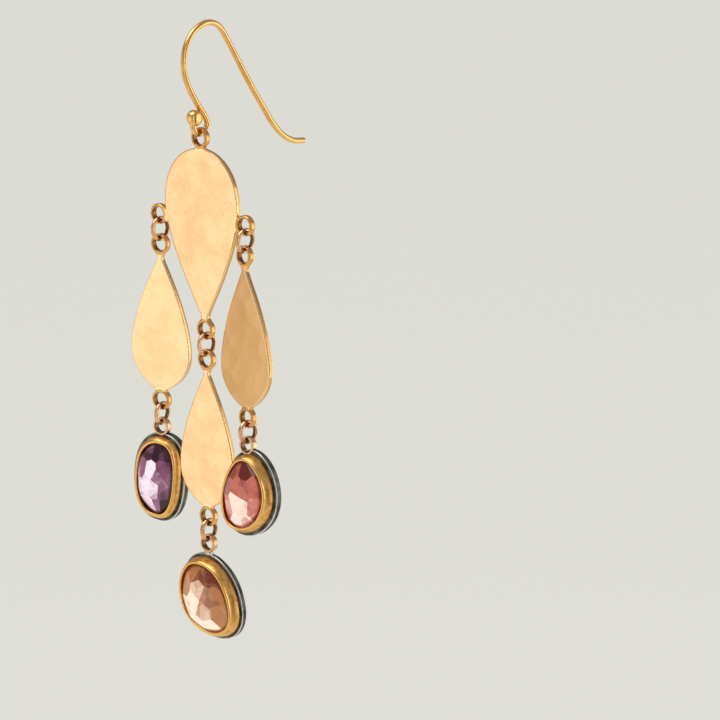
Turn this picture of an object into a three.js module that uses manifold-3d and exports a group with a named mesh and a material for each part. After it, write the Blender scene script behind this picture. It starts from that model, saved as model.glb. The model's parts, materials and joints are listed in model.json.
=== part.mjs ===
// Chandelier earring: a fish-hook ear wire, a pear-shaped gold plate, and three arms that each carry
// a jump ring, a teardrop plate, another jump ring and a rose-cut stone in a bezel setting.
// Millimetres, +Z up, front towards -Y. The origin is the underside of the ear wire's arch, where
// the wire rests in the ear.
import * as THREE from 'three';
import { mergeVertices } from 'three/addons/utils/BufferGeometryUtils.js';
import Module from 'manifold-3d';

const wasm = await Module();
wasm.setup();

// Driving dimensions
const clearance = 0.05; // between pieces that hang in one another
const dropY = -1.2; // mid-plane of everything that hangs
const earWire = {
  radius: 0.4, sides: 12, steps: 84,
  bendRadius: 1.35, bendFromDeg: 165, bendToDeg: 349, bendStepDeg: 23,
  bottomZ: -13.93,
};
const ball = { radius: 1.05, thickness: 1.5, flatRadius: 0.7, shoulder: 0.1, sides: 20, y: -2.2, z: -11.7 };
const plateRing = { bore: 0.96, thickness: 0.42, depth: 0.9 };
const settingRing = { bore: 0.86, thickness: 0.38, depth: 0.9 };
const ringSides = { around: 22, section: 8 };
const upperLink = { bore: 1.1, wire: 0.3 };
const lowerLink = { bore: 0.98, wire: 0.32 };
const linkSides = { around: 24, section: 8 };
const mainPlate = {
  thickness: 0.75, halfWidth: 6.5, ringToRing: 25.5, widestBelow: 9.3, top: 1.4, tip: 24.5,
  upperFullness: 2.3, upperPower: 0.5, lowerFullness: 1.55, lowerPower: 1.08, samples: 22,
};
const sideRings = { left: -7.85, right: 7.65, below: 10.85 };
const sideTab = { halfHeight: 0.75, overlap: 0.6 }; // solder between a side ring and the plate's edge
const smallPlate = {
  thickness: 0.72, halfWidth: 4.75, ringToRing: 21.35, widestBelow: 14.5, top: 1.65, tip: 20.15,
  upperFullness: 1.62, upperPower: 1.0, lowerFullness: 2.2, lowerPower: 0.72, samples: 20,
};
const neck = { halfWidth: 0.3, flare: 0.5, flareLength: 0.9 }; // where a plate meets its rings
const edgeBevel = 0.12;
const setting = {
  flangeY: -0.4, floorY: -0.3,
  flangeReach: 1.25, backTaper: 0.1, baseReach: 0.7, rimReach: 0.3, pocketReach: 0.3,
  above: 0.2, // how far the pocket's cutter stands proud of the rim
  samples: 36,
};
const solderLug = { halfWidth: 0.45, top: -1.0, bottom: -2.6, front: -0.25, rear: 0.35 };
const stone = { backY: -0.35, girdleY: -0.75, gap: 0.12, girdleReach: 0.2, backInset: 0.1, rimInset: 0.12 };
const crown = [ // rise of the dome above the bezel's rim, and how much of the outline is left there
  { rise: 0.1, size: 0.93 },
  { rise: 0.75, size: 0.58 },
  { rise: 0.93, size: 0.2 },
];

// Route of the ear wire after its U bend: up the shank, over the ear and down the long leg
const earWireRoute = [
  { y: -0.03, z: -12.2 },
  { y: -0.72, z: -11.1 },
  { y: -1.58, z: -10.0 },
  { y: -3.13, z: -7.55 },
  { y: -3.85, z: -5.7 },
  { y: -3.92, z: -4.3 },
  { y: -3.45, z: -2.3 },
  { y: -2.0, z: -0.47 },
  { y: 0.1, z: 0.4 },
  { y: 1.7, z: 0.3 },
  { y: 2.98, z: -0.4 },
  { y: 4.42, z: -2.3 },
  { y: 6.13, z: -4.97 },
  { y: 8.34, z: -8.4 },
  { y: 10.68, z: -11.7 },
  { y: 12.71, z: -14.47 },
  { y: 14.6, z: -16.24 },
  { y: 16.53, z: -17.2 },
  { y: 18.6, z: -17.5 },
];

// Each stone's outline as seen from the front, centred below its setting's ring, with where the
// bezel's rim and the back's rear face lie, and how much further than usual the back reaches out
const stoneOutlines = {
  left: {
    x: -0.33, z: -7.0, halfWidth: 2.95, halfHeight: 4.93, roundness: 0.82,
    taper: 0, tiltDeg: -5.6, bow: 0.26, rimY: -1.5, backY: 0.95, backExtra: -0.02,
  },
  right: {
    x: 0.63, z: -6.41, halfWidth: 3.42, halfHeight: 4.59, roundness: 1.02,
    taper: -0.06, tiltDeg: -15.5, bow: -0.64, rimY: -1.95, backY: 0.65, backExtra: 0.05,
  },
  center: {
    x: 0.7, z: -7.3, halfWidth: 3.88, halfHeight: 4.97, roundness: 1.06,
    taper: 0.04, tiltDeg: 38.7, bow: 0.41, rimY: -2.0, backY: 0.45, backExtra: -0.05,
  },
};

// The three arms. Each hangs a little askew: its upper jump ring sways sideways, and what is below it
// is turned about the vertical, leans sideways and rocks back. The left setting lies just behind the
// center plate's edge and the right one just in front of it.
const arms = [
  {
    name: 'left', x: sideRings.left, below: sideRings.below, swayDeg: 0,
    turnDeg: 8, leanDeg: 3.0, rockDeg: 1.2, jewelTurnDeg: 0, stone: 0x9a7688,
  },
  {
    name: 'right', x: sideRings.right, below: sideRings.below, swayDeg: 4,
    turnDeg: -5.7, leanDeg: -5.45, rockDeg: -2.4, jewelTurnDeg: 5.7, stone: 0xd9737f,
  },
  {
    name: 'center', x: 0, below: mainPlate.ringToRing, swayDeg: 0,
    turnDeg: 1, leanDeg: 1.4, rockDeg: 0, jewelTurnDeg: 0, stone: 0xd9a37c,
  },
];

const gold = () => new THREE.MeshStandardMaterial({ color: 0xe8b45a, roughness: 0.35, metalness: 1 });
const roseGold = () => new THREE.MeshStandardMaterial({ color: 0xe3b28a, roughness: 0.3, metalness: 1 });
const bezelGold = () => new THREE.MeshStandardMaterial({ color: 0xe2a63c, roughness: 0.4, metalness: 1 });
const gem = (color) => new THREE.MeshStandardMaterial({ color, roughness: 0.1, metalness: 0 });

const radians = THREE.MathUtils.degToRad;

// Solids: a closed three.js geometry to a manifold and back
function toSolid(geometry) {
  const bare = geometry.clone();
  bare.deleteAttribute('normal');
  bare.deleteAttribute('uv');
  const merged = mergeVertices(bare, 1e-5);
  const corners = merged.index.array;
  const triangles = [];
  for (let i = 0; i < corners.length; i += 3) {
    const [a, b, c] = [corners[i], corners[i + 1], corners[i + 2]];
    if (a !== b && b !== c && c !== a) triangles.push(a, b, c);
  }
  return new wasm.Manifold(new wasm.Mesh({
    numProp: 3,
    vertProperties: Float32Array.from(merged.attributes.position.array),
    triVerts: Uint32Array.from(triangles),
  }));
}

function toGeometry(solid) {
  const { vertProperties, triVerts } = solid.getMesh();
  const geometry = new THREE.BufferGeometry();
  geometry.setAttribute('position', new THREE.BufferAttribute(vertProperties, 3));
  geometry.setIndex(new THREE.BufferAttribute(triVerts, 1));
  geometry.computeVertexNormals();
  return geometry;
}

function joined(geometries) {
  return toGeometry(geometries.map(toSolid).reduce((whole, piece) => whole.add(piece)));
}

// A ring whose hole runs along Y; its section is an oval, thin outwards and deep front to back
function ovalRing(bore, thickness, depth, segments, sides) {
  const middle = bore + thickness / 2;
  const profile = [];
  for (let i = 0; i <= sides; i++) {
    const angle = -2 * Math.PI * (i % sides) / sides;
    profile.push(new THREE.Vector2(middle + thickness / 2 * Math.cos(angle), -depth / 2 * Math.sin(angle)));
  }
  return new THREE.LatheGeometry(profile, segments);
}

function solderedRing({ bore, thickness, depth }, x, z) {
  return ovalRing(bore, thickness, depth, ringSides.around, ringSides.section).translate(x, 0, z);
}

// A round jump ring standing in the YZ plane
function jumpRing({ bore, wire }) {
  return ovalRing(bore, 2 * wire, 2 * wire, linkSides.around, linkSides.section).rotateZ(Math.PI / 2);
}

// Half-width of a plate at a depth below its top ring; it never narrows to less than its neck, which
// flares where it runs into a ring
function plateHalfWidth(plate, below, fromEnd) {
  const isUpper = below < plate.widestBelow;
  const span = isUpper ? plate.widestBelow - plate.top : plate.tip - plate.widestBelow;
  const away = Math.min(1, Math.abs(below - plate.widestBelow) / span);
  const fullness = isUpper ? plate.upperFullness : plate.lowerFullness;
  const power = isUpper ? plate.upperPower : plate.lowerPower;
  const flare = neck.flare * Math.max(0, 1 - fromEnd / neck.flareLength) ** 2;
  return Math.hypot(neck.halfWidth + flare, plate.halfWidth * (1 - away ** fullness) ** power);
}

// Flat plate in the XZ plane, from inside its top ring's wall to inside its bottom ring's wall
function plateGeometry(plate) {
  const wall = plateRing.bore + plateRing.thickness / 2;
  const [first, last] = [wall, plate.ringToRing - wall];
  const rightSide = [];
  for (let i = 0; i <= plate.samples; i++) {
    const evenly = (1 - Math.cos(Math.PI * i / plate.samples)) / 2;
    const below = first + (last - first) * evenly;
    const halfWidth = plateHalfWidth(plate, below, Math.min(below - first, last - below));
    rightSide.push(new THREE.Vector2(halfWidth - edgeBevel, -below));
  }
  const leftSide = rightSide.map((point) => new THREE.Vector2(-point.x, point.y)).reverse();
  const outline = new THREE.Shape([...rightSide, ...leftSide]);
  const slab = new THREE.ExtrudeGeometry(outline, {
    depth: plate.thickness - 2 * edgeBevel,
    bevelThickness: edgeBevel, bevelSize: edgeBevel, bevelSegments: 1,
  });
  return slab.rotateX(Math.PI / 2).translate(0, plate.thickness / 2 - edgeBevel, 0);
}

// Ear wire: U bend at the foot, then the route, with the hammered ball on the U's free end
function earHookGeometry() {
  const { bendRadius, bendFromDeg, bendToDeg, bendStepDeg, bottomZ } = earWire;
  const points = [];
  for (let degrees = bendFromDeg; degrees <= bendToDeg; degrees += bendStepDeg) {
    const angle = radians(degrees);
    const y = dropY + bendRadius * Math.cos(angle);
    const z = bottomZ + bendRadius + bendRadius * Math.sin(angle);
    points.push(new THREE.Vector3(0, y, z));
  }
  points.push(...earWireRoute.map(({ y, z }) => new THREE.Vector3(0, y, z)));
  const section = new THREE.Shape().absarc(0, 0, earWire.radius, 0, 2 * Math.PI, false);
  const wire = new THREE.ExtrudeGeometry(section, {
    steps: earWire.steps,
    curveSegments: earWire.sides / 2,
    extrudePath: new THREE.CatmullRomCurve3(points, false, 'centripetal'),
  });
  const { radius, flatRadius, shoulder } = ball;
  const half = ball.thickness / 2;
  const disc = new THREE.LatheGeometry([
    new THREE.Vector2(0, -half),
    new THREE.Vector2(flatRadius, -half),
    new THREE.Vector2(radius - shoulder, -half / 2),
    new THREE.Vector2(radius, 0),
    new THREE.Vector2(radius - shoulder, half / 2),
    new THREE.Vector2(flatRadius, half),
    new THREE.Vector2(0, half),
  ], ball.sides);
  disc.rotateZ(Math.PI / 2).translate(0, ball.y, ball.z);
  return joined([wire, disc]);
}

// Block of solder from inside the plate's edge to the middle of a side ring's wall
function sideTabGeometry(ringX) {
  const outer = Math.abs(ringX) - plateRing.bore - plateRing.thickness / 2;
  const inner = mainPlate.halfWidth - sideTab.overlap;
  const block = new THREE.BoxGeometry(outer - inner, mainPlate.thickness, 2 * sideTab.halfHeight);
  return block.translate(Math.sign(ringX) * (outer + inner) / 2, 0, -sideRings.below);
}

function mainPlateGeometry() {
  const { left, right, below } = sideRings;
  return joined([
    plateGeometry(mainPlate),
    solderedRing(plateRing, 0, 0),
    solderedRing(plateRing, 0, -mainPlate.ringToRing),
    solderedRing(plateRing, left, -below),
    solderedRing(plateRing, right, -below),
    sideTabGeometry(left),
    sideTabGeometry(right),
  ]);
}

function smallPlateGeometry() {
  return joined([
    plateGeometry(smallPlate),
    solderedRing(plateRing, 0, 0),
    solderedRing(plateRing, 0, -smallPlate.ringToRing),
  ]);
}

// Outline of a stone's visible face, scaled by a size and then grown outwards by a reach, as points in
// the XZ plane
function stoneOutline(shape, reach, size = 1) {
  const tilt = radians(shape.tiltDeg);
  const halfWidth = size * shape.halfWidth;
  const eased = (value) => Math.sign(value) * Math.abs(value) ** shape.roundness;
  const face = [];
  for (let i = 0; i < setting.samples; i++) {
    const angle = 2 * Math.PI * (i + 0.5) / setting.samples;
    const rise = eased(Math.sin(angle));
    const width = halfWidth * eased(Math.cos(angle)) * (1 + shape.taper * rise);
    const point = new THREE.Vector2(width + size * shape.bow * rise ** 2, size * shape.halfHeight * rise);
    face.push(point.rotateAround(new THREE.Vector2(), tilt));
  }
  return face.map((point, i) => {
    const before = face[(i + face.length - 1) % face.length];
    const after = face[(i + 1) % face.length];
    const along = after.clone().sub(before).normalize();
    return new THREE.Vector2(shape.x + point.x + along.y * reach, shape.z + point.y - along.x * reach);
  });
}

// Closed solid through outlines listed from the back to the front, each with the same point count
function loft(levels) {
  const count = levels[0].outline.length;
  const positions = [];
  for (const { y, outline } of levels) outline.forEach((point) => positions.push(point.x, y, point.y));
  for (const { y, outline } of [levels[0], levels[levels.length - 1]]) {
    const middle = new THREE.Vector2();
    outline.forEach((point) => middle.addScaledVector(point, 1 / count));
    positions.push(middle.x, y, middle.y);
  }
  const [backCentre, frontCentre] = [levels.length * count, levels.length * count + 1];
  const index = [];
  for (let i = 0; i < count; i++) {
    const next = (i + 1) % count;
    index.push(backCentre, next, i);
    const front = (levels.length - 1) * count;
    index.push(frontCentre, front + i, front + next);
    for (let level = 0; level + 1 < levels.length; level++) {
      const [near, far] = [level * count, (level + 1) * count];
      index.push(near + i, near + next, far + next, near + i, far + next, far + i);
    }
  }
  const geometry = new THREE.BufferGeometry();
  geometry.setAttribute('position', new THREE.Float32BufferAttribute(positions, 3));
  geometry.setIndex(index);
  return geometry;
}

// Back plate with its flange, leaning bezel wall and soldered ring, hollowed for the stone
function settingGeometry(shape) {
  const level = (y, reach) => ({ y, outline: stoneOutline(shape, reach) });
  const { flangeY, floorY, backTaper, baseReach, rimReach, pocketReach, above } = setting;
  const { rimY, backY } = shape;
  const flangeReach = setting.flangeReach + shape.backExtra;
  const back = toSolid(loft([
    level(backY, flangeReach - backTaper),
    level(0, flangeReach),
    level(flangeY, flangeReach),
  ]));
  const wall = toSolid(loft([level(0, baseReach), level(flangeY, baseReach), level(rimY, rimReach)]));
  const pocket = toSolid(loft([level(floorY, pocketReach), level(rimY - above, 0)]));
  const ring = toSolid(solderedRing(settingRing, 0, 0));
  const { halfWidth, top, bottom, front, rear } = solderLug;
  const lug = new THREE.BoxGeometry(2 * halfWidth, rear - front, top - bottom);
  lug.translate(0, (rear + front) / 2, (top + bottom) / 2);
  return toGeometry(back.add(wall).subtract(pocket).add(ring).add(toSolid(lug)));
}

// Rose-cut stone: flat back, girdle under the bezel and a low dome above its rim
function stoneGeometry(shape) {
  const { backY, girdleY, gap, girdleReach, backInset, rimInset } = stone;
  const girdle = girdleReach - gap;
  return loft([
    { y: backY, outline: stoneOutline(shape, girdle - backInset) },
    { y: girdleY, outline: stoneOutline(shape, girdle) },
    { y: shape.rimY, outline: stoneOutline(shape, -rimInset) },
    ...crown.map(({ rise, size }) => ({ y: shape.rimY - rise, outline: stoneOutline(shape, 0, size) })),
  ]);
}

function piece(name, geometry, material) {
  const mesh = new THREE.Mesh(geometry, material);
  mesh.name = name;
  return mesh;
}

// Everything under one ring of the main plate; the group's origin is that ring's centre
function armGroup(arm) {
  const group = new THREE.Group();
  const upper = piece(`${arm.name}_link_upper`, jumpRing(upperLink), roseGold());
  const upperDrop = plateRing.bore + upperLink.bore - clearance;
  upper.position.z = -upperDrop;
  group.rotation.y = radians(arm.swayDeg);

  const hanging = new THREE.Group();
  hanging.position.z = -2 * upperDrop;
  hanging.rotation.set(radians(arm.rockDeg), radians(arm.leanDeg), radians(arm.turnDeg));
  const plate = piece(`${arm.name}_plate`, smallPlateGeometry(), gold());

  const lower = piece(`${arm.name}_link_lower`, jumpRing(lowerLink), roseGold());
  lower.position.z = -smallPlate.ringToRing - (plateRing.bore + lowerLink.bore - clearance);

  const jewel = new THREE.Group();
  jewel.position.z = lower.position.z - (lowerLink.bore + settingRing.bore - clearance);
  jewel.rotation.z = radians(arm.jewelTurnDeg);
  const shape = stoneOutlines[arm.name];
  jewel.add(
    piece(`${arm.name}_setting`, settingGeometry(shape), bezelGold()),
    piece(`${arm.name}_stone`, stoneGeometry(shape), gem(arm.stone)),
  );
  hanging.add(plate, lower, jewel);
  group.add(upper, hanging);
  group.position.set(arm.x, 0, -arm.below);
  return group;
}

const drop = new THREE.Group();
const hangFromWire = plateRing.bore - earWire.radius - clearance;
drop.position.set(0, dropY, earWire.bottomZ - hangFromWire);
drop.add(piece('main_plate', mainPlateGeometry(), gold()), ...arms.map(armGroup));

const earring = new THREE.Group();
earring.add(piece('ear_hook', earHookGeometry(), gold()), drop);

export default earring;
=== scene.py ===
import json
import math

import bmesh
import bpy
from mathutils import Euler, Matrix, Vector, noise


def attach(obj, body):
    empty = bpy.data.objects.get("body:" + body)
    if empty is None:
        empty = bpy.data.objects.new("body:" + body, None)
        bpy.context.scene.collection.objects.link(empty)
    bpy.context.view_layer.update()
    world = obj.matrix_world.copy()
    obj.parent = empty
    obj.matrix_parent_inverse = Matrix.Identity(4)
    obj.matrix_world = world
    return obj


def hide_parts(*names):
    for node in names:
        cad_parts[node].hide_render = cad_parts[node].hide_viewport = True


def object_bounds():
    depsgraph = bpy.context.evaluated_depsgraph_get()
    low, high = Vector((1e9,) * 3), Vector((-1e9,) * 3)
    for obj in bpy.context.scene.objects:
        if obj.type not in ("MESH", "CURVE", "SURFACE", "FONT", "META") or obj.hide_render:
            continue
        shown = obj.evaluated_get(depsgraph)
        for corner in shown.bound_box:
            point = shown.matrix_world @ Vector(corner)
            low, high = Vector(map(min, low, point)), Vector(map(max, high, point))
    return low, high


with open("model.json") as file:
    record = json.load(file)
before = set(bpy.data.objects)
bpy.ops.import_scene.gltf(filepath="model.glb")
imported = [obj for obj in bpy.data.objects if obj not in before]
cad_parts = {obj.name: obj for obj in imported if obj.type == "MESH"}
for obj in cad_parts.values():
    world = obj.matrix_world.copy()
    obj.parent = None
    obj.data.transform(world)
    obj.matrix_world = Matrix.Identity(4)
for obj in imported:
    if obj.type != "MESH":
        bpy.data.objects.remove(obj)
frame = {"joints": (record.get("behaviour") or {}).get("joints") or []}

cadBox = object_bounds()
metres = 0.001  # everything below is in millimetres until a piece is finished


class Flow:
    # One output of a node tree, so that a finish reads as plain arithmetic
    def __init__(self, tree, socket):
        self.tree = tree
        self.socket = socket

    def math(self, operation, *values, clamp=False):
        node = self.tree.nodes.new("ShaderNodeMath")
        node.operation = operation
        node.use_clamp = clamp
        for target, value in zip(node.inputs, values):
            plug(self.tree, target, value)
        return Flow(self.tree, node.outputs[0])

    def __add__(self, other):
        return self.math("ADD", self, other)

    def __sub__(self, other):
        return self.math("SUBTRACT", self, other)

    def __rsub__(self, other):
        return self.math("SUBTRACT", other, self)

    def __mul__(self, other):
        return self.math("MULTIPLY", self, other)

    def __truediv__(self, other):
        return self.math("DIVIDE", self, other)

    def __pow__(self, other):
        return self.math("POWER", self, other)

    __radd__ = __add__
    __rmul__ = __mul__

    def between(self, low, high):
        # 0 below low, 1 above high, eased in the middle
        node = self.tree.nodes.new("ShaderNodeMapRange")
        node.interpolation_type = "SMOOTHSTEP"
        plug(self.tree, node.inputs["Value"], self)
        node.inputs["From Min"].default_value = low
        node.inputs["From Max"].default_value = high
        return Flow(self.tree, node.outputs[0])


def plug(tree, target, value):
    if isinstance(value, Flow):
        tree.links.new(value.socket, target)
    elif isinstance(value, tuple) and len(value) == 3 and target.type == "RGBA":
        target.default_value = (*value, 1.0)
    else:
        target.default_value = value


class Finish:
    # A material with one Principled shader and the few nodes that feed it
    def __init__(self, name):
        self.material = bpy.data.materials.new(name)
        self.material.use_nodes = True
        self.tree = self.material.node_tree
        self.shader = self.tree.nodes["Principled BSDF"]
        place = self.node("ShaderNodeTexCoord", output="Object")
        self.place = self.node("ShaderNodeVectorMath", {"operation": "SCALE"}, {"Vector": place, "Scale": 1 / metres})

    def node(self, kind, settings=None, sockets=None, output=0):
        node = self.tree.nodes.new(kind)
        for key, value in (settings or {}).items():
            setattr(node, key, value)
        for key, value in (sockets or {}).items():
            plug(self.tree, node.inputs[key], value)
        return Flow(self.tree, node.outputs[output])

    def grain(self, scale, detail=3.0, rough=0.55, stretch=(1, 1, 1), shift=(0, 0, 0)):
        where = self.node("ShaderNodeMapping", None, {"Vector": self.place, "Scale": stretch, "Location": shift})
        return self.node("ShaderNodeTexNoise", None, {
            "Vector": where, "Scale": scale, "Detail": detail, "Roughness": rough})

    def cells(self, scale, feature="F1", output="Distance", shift=(0, 0, 0)):
        where = self.node("ShaderNodeMapping", None, {"Vector": self.place, "Location": shift})
        return self.node("ShaderNodeTexVoronoi", {"feature": feature}, {"Vector": where, "Scale": scale}, output)

    def attribute(self, name):
        return self.node("ShaderNodeAttribute", {"attribute_name": name}, None, "Fac")

    def mix(self, amount, first, second):
        node = self.tree.nodes.new("ShaderNodeMix")
        node.data_type = "RGBA"
        plug(self.tree, node.inputs[0], amount)
        plug(self.tree, node.inputs[6], first)
        plug(self.tree, node.inputs[7], second)
        return Flow(self.tree, node.outputs[2])

    def bump(self, height, strength, distance):
        return self.node("ShaderNodeBump", None, {
            "Height": height, "Strength": strength, "Distance": distance * metres})

    def shade(self, sockets):
        for key, value in sockets.items():
            plug(self.tree, self.shader.inputs[key], value)
        return self.material


# In these colours the deeper orange is painted shade on edges and rings, the bright colour a painted highlight line,
# and the patina colour patina with painted shade
plateFinish = {
    "light": (0.98, 0.635, 0.345), "deep": (0.91, 0.56, 0.27), "warm": (0.96, 0.49, 0.14), "pit": (0.55, 0.27, 0.08),
    "patina": (0.13, 0.04, 0.01), "bright": (1.0, 0.80, 0.52),
    "mottleSize": 0.30, "pitSize": 2.6, "roughLow": 0.18, "roughHigh": 0.27,
}


def satinGold():
    look = plateFinish
    finish = Finish("satinGold")
    mottle = finish.grain(look["mottleSize"], 4.0, 0.6).between(0.35, 0.68)
    speck = finish.grain(look["pitSize"], 2.0, 0.5, shift=(7, 3, 5)).between(0.68, 0.74)
    rubbed = finish.grain(1.2, 3.0, 0.6, stretch=(6, 6, 0.7), shift=(2, 9, 4))
    fine = finish.grain(9.0, 2.0, 0.5)
    colour = finish.mix(mottle * 0.35, look["light"], look["deep"])
    # Painted shade: a mask over the sawn edges and soldered rings that gives them a deeper orange, a painted highlight
    # line and a dark back
    edge = finish.attribute("warmth")
    corner = edge.between(0.02, 0.2) * (1 - edge.between(0.35, 0.7))
    colour = finish.mix(edge.between(0.2, 0.8), colour, look["warm"])
    # Painted highlight: a bright line along the front corner of each sawn edge
    colour = finish.mix(corner * 0.6, colour, look["bright"])
    # Painted shade: the back part of each sawn edge turns dark brown
    colour = finish.mix(edge.between(0.6, 1.0) * 0.75, colour, look["patina"])
    colour = finish.mix(speck * 0.15, colour, look["pit"])
    # Patina with painted shade inside the bores of the soldered rings
    colour = finish.mix(finish.attribute("patina") * 0.8, colour, look["patina"])
    roughness = look["roughLow"] + (look["roughHigh"] - look["roughLow"]) * mottle + 0.06 * speck
    height = 0.5 * rubbed + 0.35 * fine - 0.8 * speck
    normal = finish.bump(height, 0.35, 0.02)
    return finish.shade({
        "Base Color": colour, "Metallic": 1.0, "Roughness": roughness, "Normal": normal})


linkFinish = {"light": (0.93, 0.58, 0.34), "deep": (0.60, 0.28, 0.12), "patina": (0.10, 0.035, 0.015), "roughness": 0.18}


def roseGold():
    look = linkFinish
    finish = Finish("roseGold")
    tint = finish.grain(0.9, 2.0).between(0.4, 0.7)
    scuff = finish.grain(6.0, 3.0, 0.6)
    normal = finish.bump(scuff, 0.25, 0.015)
    colour = finish.mix(tint * 0.6, look["light"], look["deep"])
    # Patina with painted shade inside the link's bore
    colour = finish.mix(finish.attribute("patina") * 0.85, colour, look["patina"])
    return finish.shade({
        "Base Color": colour, "Metallic": 1.0, "Roughness": look["roughness"] + 0.12 * scuff, "Normal": normal})


wireFinish = {"light": (0.94, 0.56, 0.20), "deep": (0.80, 0.38, 0.10), "roughness": 0.18}


def wireGold():
    look = wireFinish
    finish = Finish("wireGold")
    tint = finish.grain(0.5, 2.0).between(0.4, 0.7)
    scuff = finish.grain(5.0, 3.0, 0.6)
    normal = finish.bump(scuff, 0.2, 0.015)
    colour = finish.mix(tint * 0.5, look["light"], look["deep"])
    return finish.shade({
        "Base Color": colour, "Metallic": 1.0, "Roughness": look["roughness"] + 0.12 * scuff, "Normal": normal})


bezelFinish = {"light": (0.93, 0.53, 0.16), "deep": (0.60, 0.25, 0.05), "roughWall": 0.34, "roughLip": 0.16}


def bezelGold():
    look = bezelFinish
    finish = Finish("bezelGold")
    lip = finish.attribute("burnished")
    streak = finish.grain(1.3, 3.0, 0.6, shift=(4, 1, 8)).between(0.38, 0.68)
    fine = finish.grain(7.0, 2.0)
    colour = finish.mix(streak * (1 - lip) * 0.7, look["light"], look["deep"])
    roughness = look["roughWall"] + (look["roughLip"] - look["roughWall"]) * lip + 0.05 * fine
    normal = finish.bump(0.6 * fine + streak, 0.3, 0.02)
    return finish.shade({
        "Base Color": colour, "Metallic": 1.0, "Roughness": roughness, "Normal": normal})


silverFinish = {"black": (0.045, 0.042, 0.04), "grey": (0.24, 0.23, 0.22), "bright": (0.78, 0.74, 0.66)}


def oxidisedSilver():
    look = silverFinish
    finish = Finish("oxidisedSilver")
    patch = finish.grain(0.7, 3.0, 0.55).between(0.3, 0.8)
    fine = finish.grain(8.0, 3.0)
    edge = finish.attribute("wornEdge")
    rubbed = (edge * (0.55 + 0.9 * finish.grain(1.8, 2.0, shift=(3, 3, 1)))).between(0.25, 0.7)
    colour = finish.mix(patch, look["black"], look["grey"])
    colour = finish.mix(rubbed, colour, look["bright"])
    normal = finish.bump(fine, 0.35, 0.02)
    return finish.shade({
        "Base Color": colour, "Metallic": 0.9, "Roughness": 0.52 - 0.26 * rubbed, "Normal": normal})


def solderSilver():
    finish = Finish("solderSilver")
    fine = finish.grain(5.0, 3.0)
    colour = finish.mix(fine.between(0.35, 0.65), (0.86, 0.83, 0.78), (0.50, 0.46, 0.40))
    return finish.shade({
        "Base Color": colour, "Metallic": 1.0, "Roughness": 0.34, "Normal": finish.bump(fine, 0.3, 0.03)})


def gemStone(name, look):
    finish = Finish(name)
    # Facet tones are painted light; dark, middle and pale are the painted shade, mid tone and painted highlight colours
    tone = finish.attribute("facetTone")
    inward = finish.attribute("rimDistance")
    # Painted reflections: cell shards that brighten and darken patches like internal reflections
    shardGlint = finish.node("ShaderNodeSeparateXYZ", None, {
        "Vector": finish.cells(look["shardScale"], output="Color", shift=look["shardShift"])}, 0)
    chipGlint = finish.node("ShaderNodeSeparateXYZ", None, {
        "Vector": finish.cells(2.2 * look["shardScale"], output="Color", shift=look["shardShift"])}, 1)
    # Painted shade: the stone darkens towards its rim
    rim = inward.between(look["rimStart"], look["rimEnd"])
    lit = (tone + look["shardAmount"] * (shardGlint - 0.5) + 0.5 * look["shardAmount"] * (chipGlint - 0.5)) * (0.2 + 0.8 * rim)
    colour = finish.mix(lit.between(0.1, 0.5), look["dark"], look["middle"])
    colour = finish.mix(lit.between(0.5, 0.95), colour, look["pale"])
    # Painted glow: the stone emits its own colour to stand in for light reflected inside it
    return finish.shade({
        "Base Color": colour, "Emission Color": colour, "Emission Strength": 0.32, "Roughness": 0.07, "IOR": 1.5,
        "Coat Weight": 0.1, "Coat Roughness": 0.03})


def newTree(name, inputs):
    tree = bpy.data.node_groups.new(name, "GeometryNodeTree")
    tree.interface.new_socket("Geometry", in_out="INPUT", socket_type="NodeSocketGeometry")
    for label, kind, value in inputs:
        item = tree.interface.new_socket(label, in_out="INPUT", socket_type="NodeSocket" + kind)
        if value is not None:
            item.default_value = value
    tree.interface.new_socket("Geometry", in_out="OUTPUT", socket_type="NodeSocketGeometry")
    return tree, tree.nodes.new("NodeGroupInput"), tree.nodes.new("NodeGroupOutput")


def addNode(tree, kind, settings=None, sockets=None):
    node = tree.nodes.new(kind)
    for key, value in (settings or {}).items():
        setattr(node, key, value)
    for key, value in (sockets or {}).items():
        target = node.inputs[key]
        if isinstance(value, bpy.types.NodeSocket):
            tree.links.new(value, target)
        else:
            target.default_value = value
    return node


def closeTree(tree, given, result, geometry):
    realized = addNode(tree, "GeometryNodeRealizeInstances", None, {"Geometry": geometry})
    painted = addNode(tree, "GeometryNodeSetMaterial", None, {
        "Geometry": realized.outputs[0], "Material": given.outputs["Material"]})
    tree.links.new(painted.outputs[0], result.inputs[0])
    return tree


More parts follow.
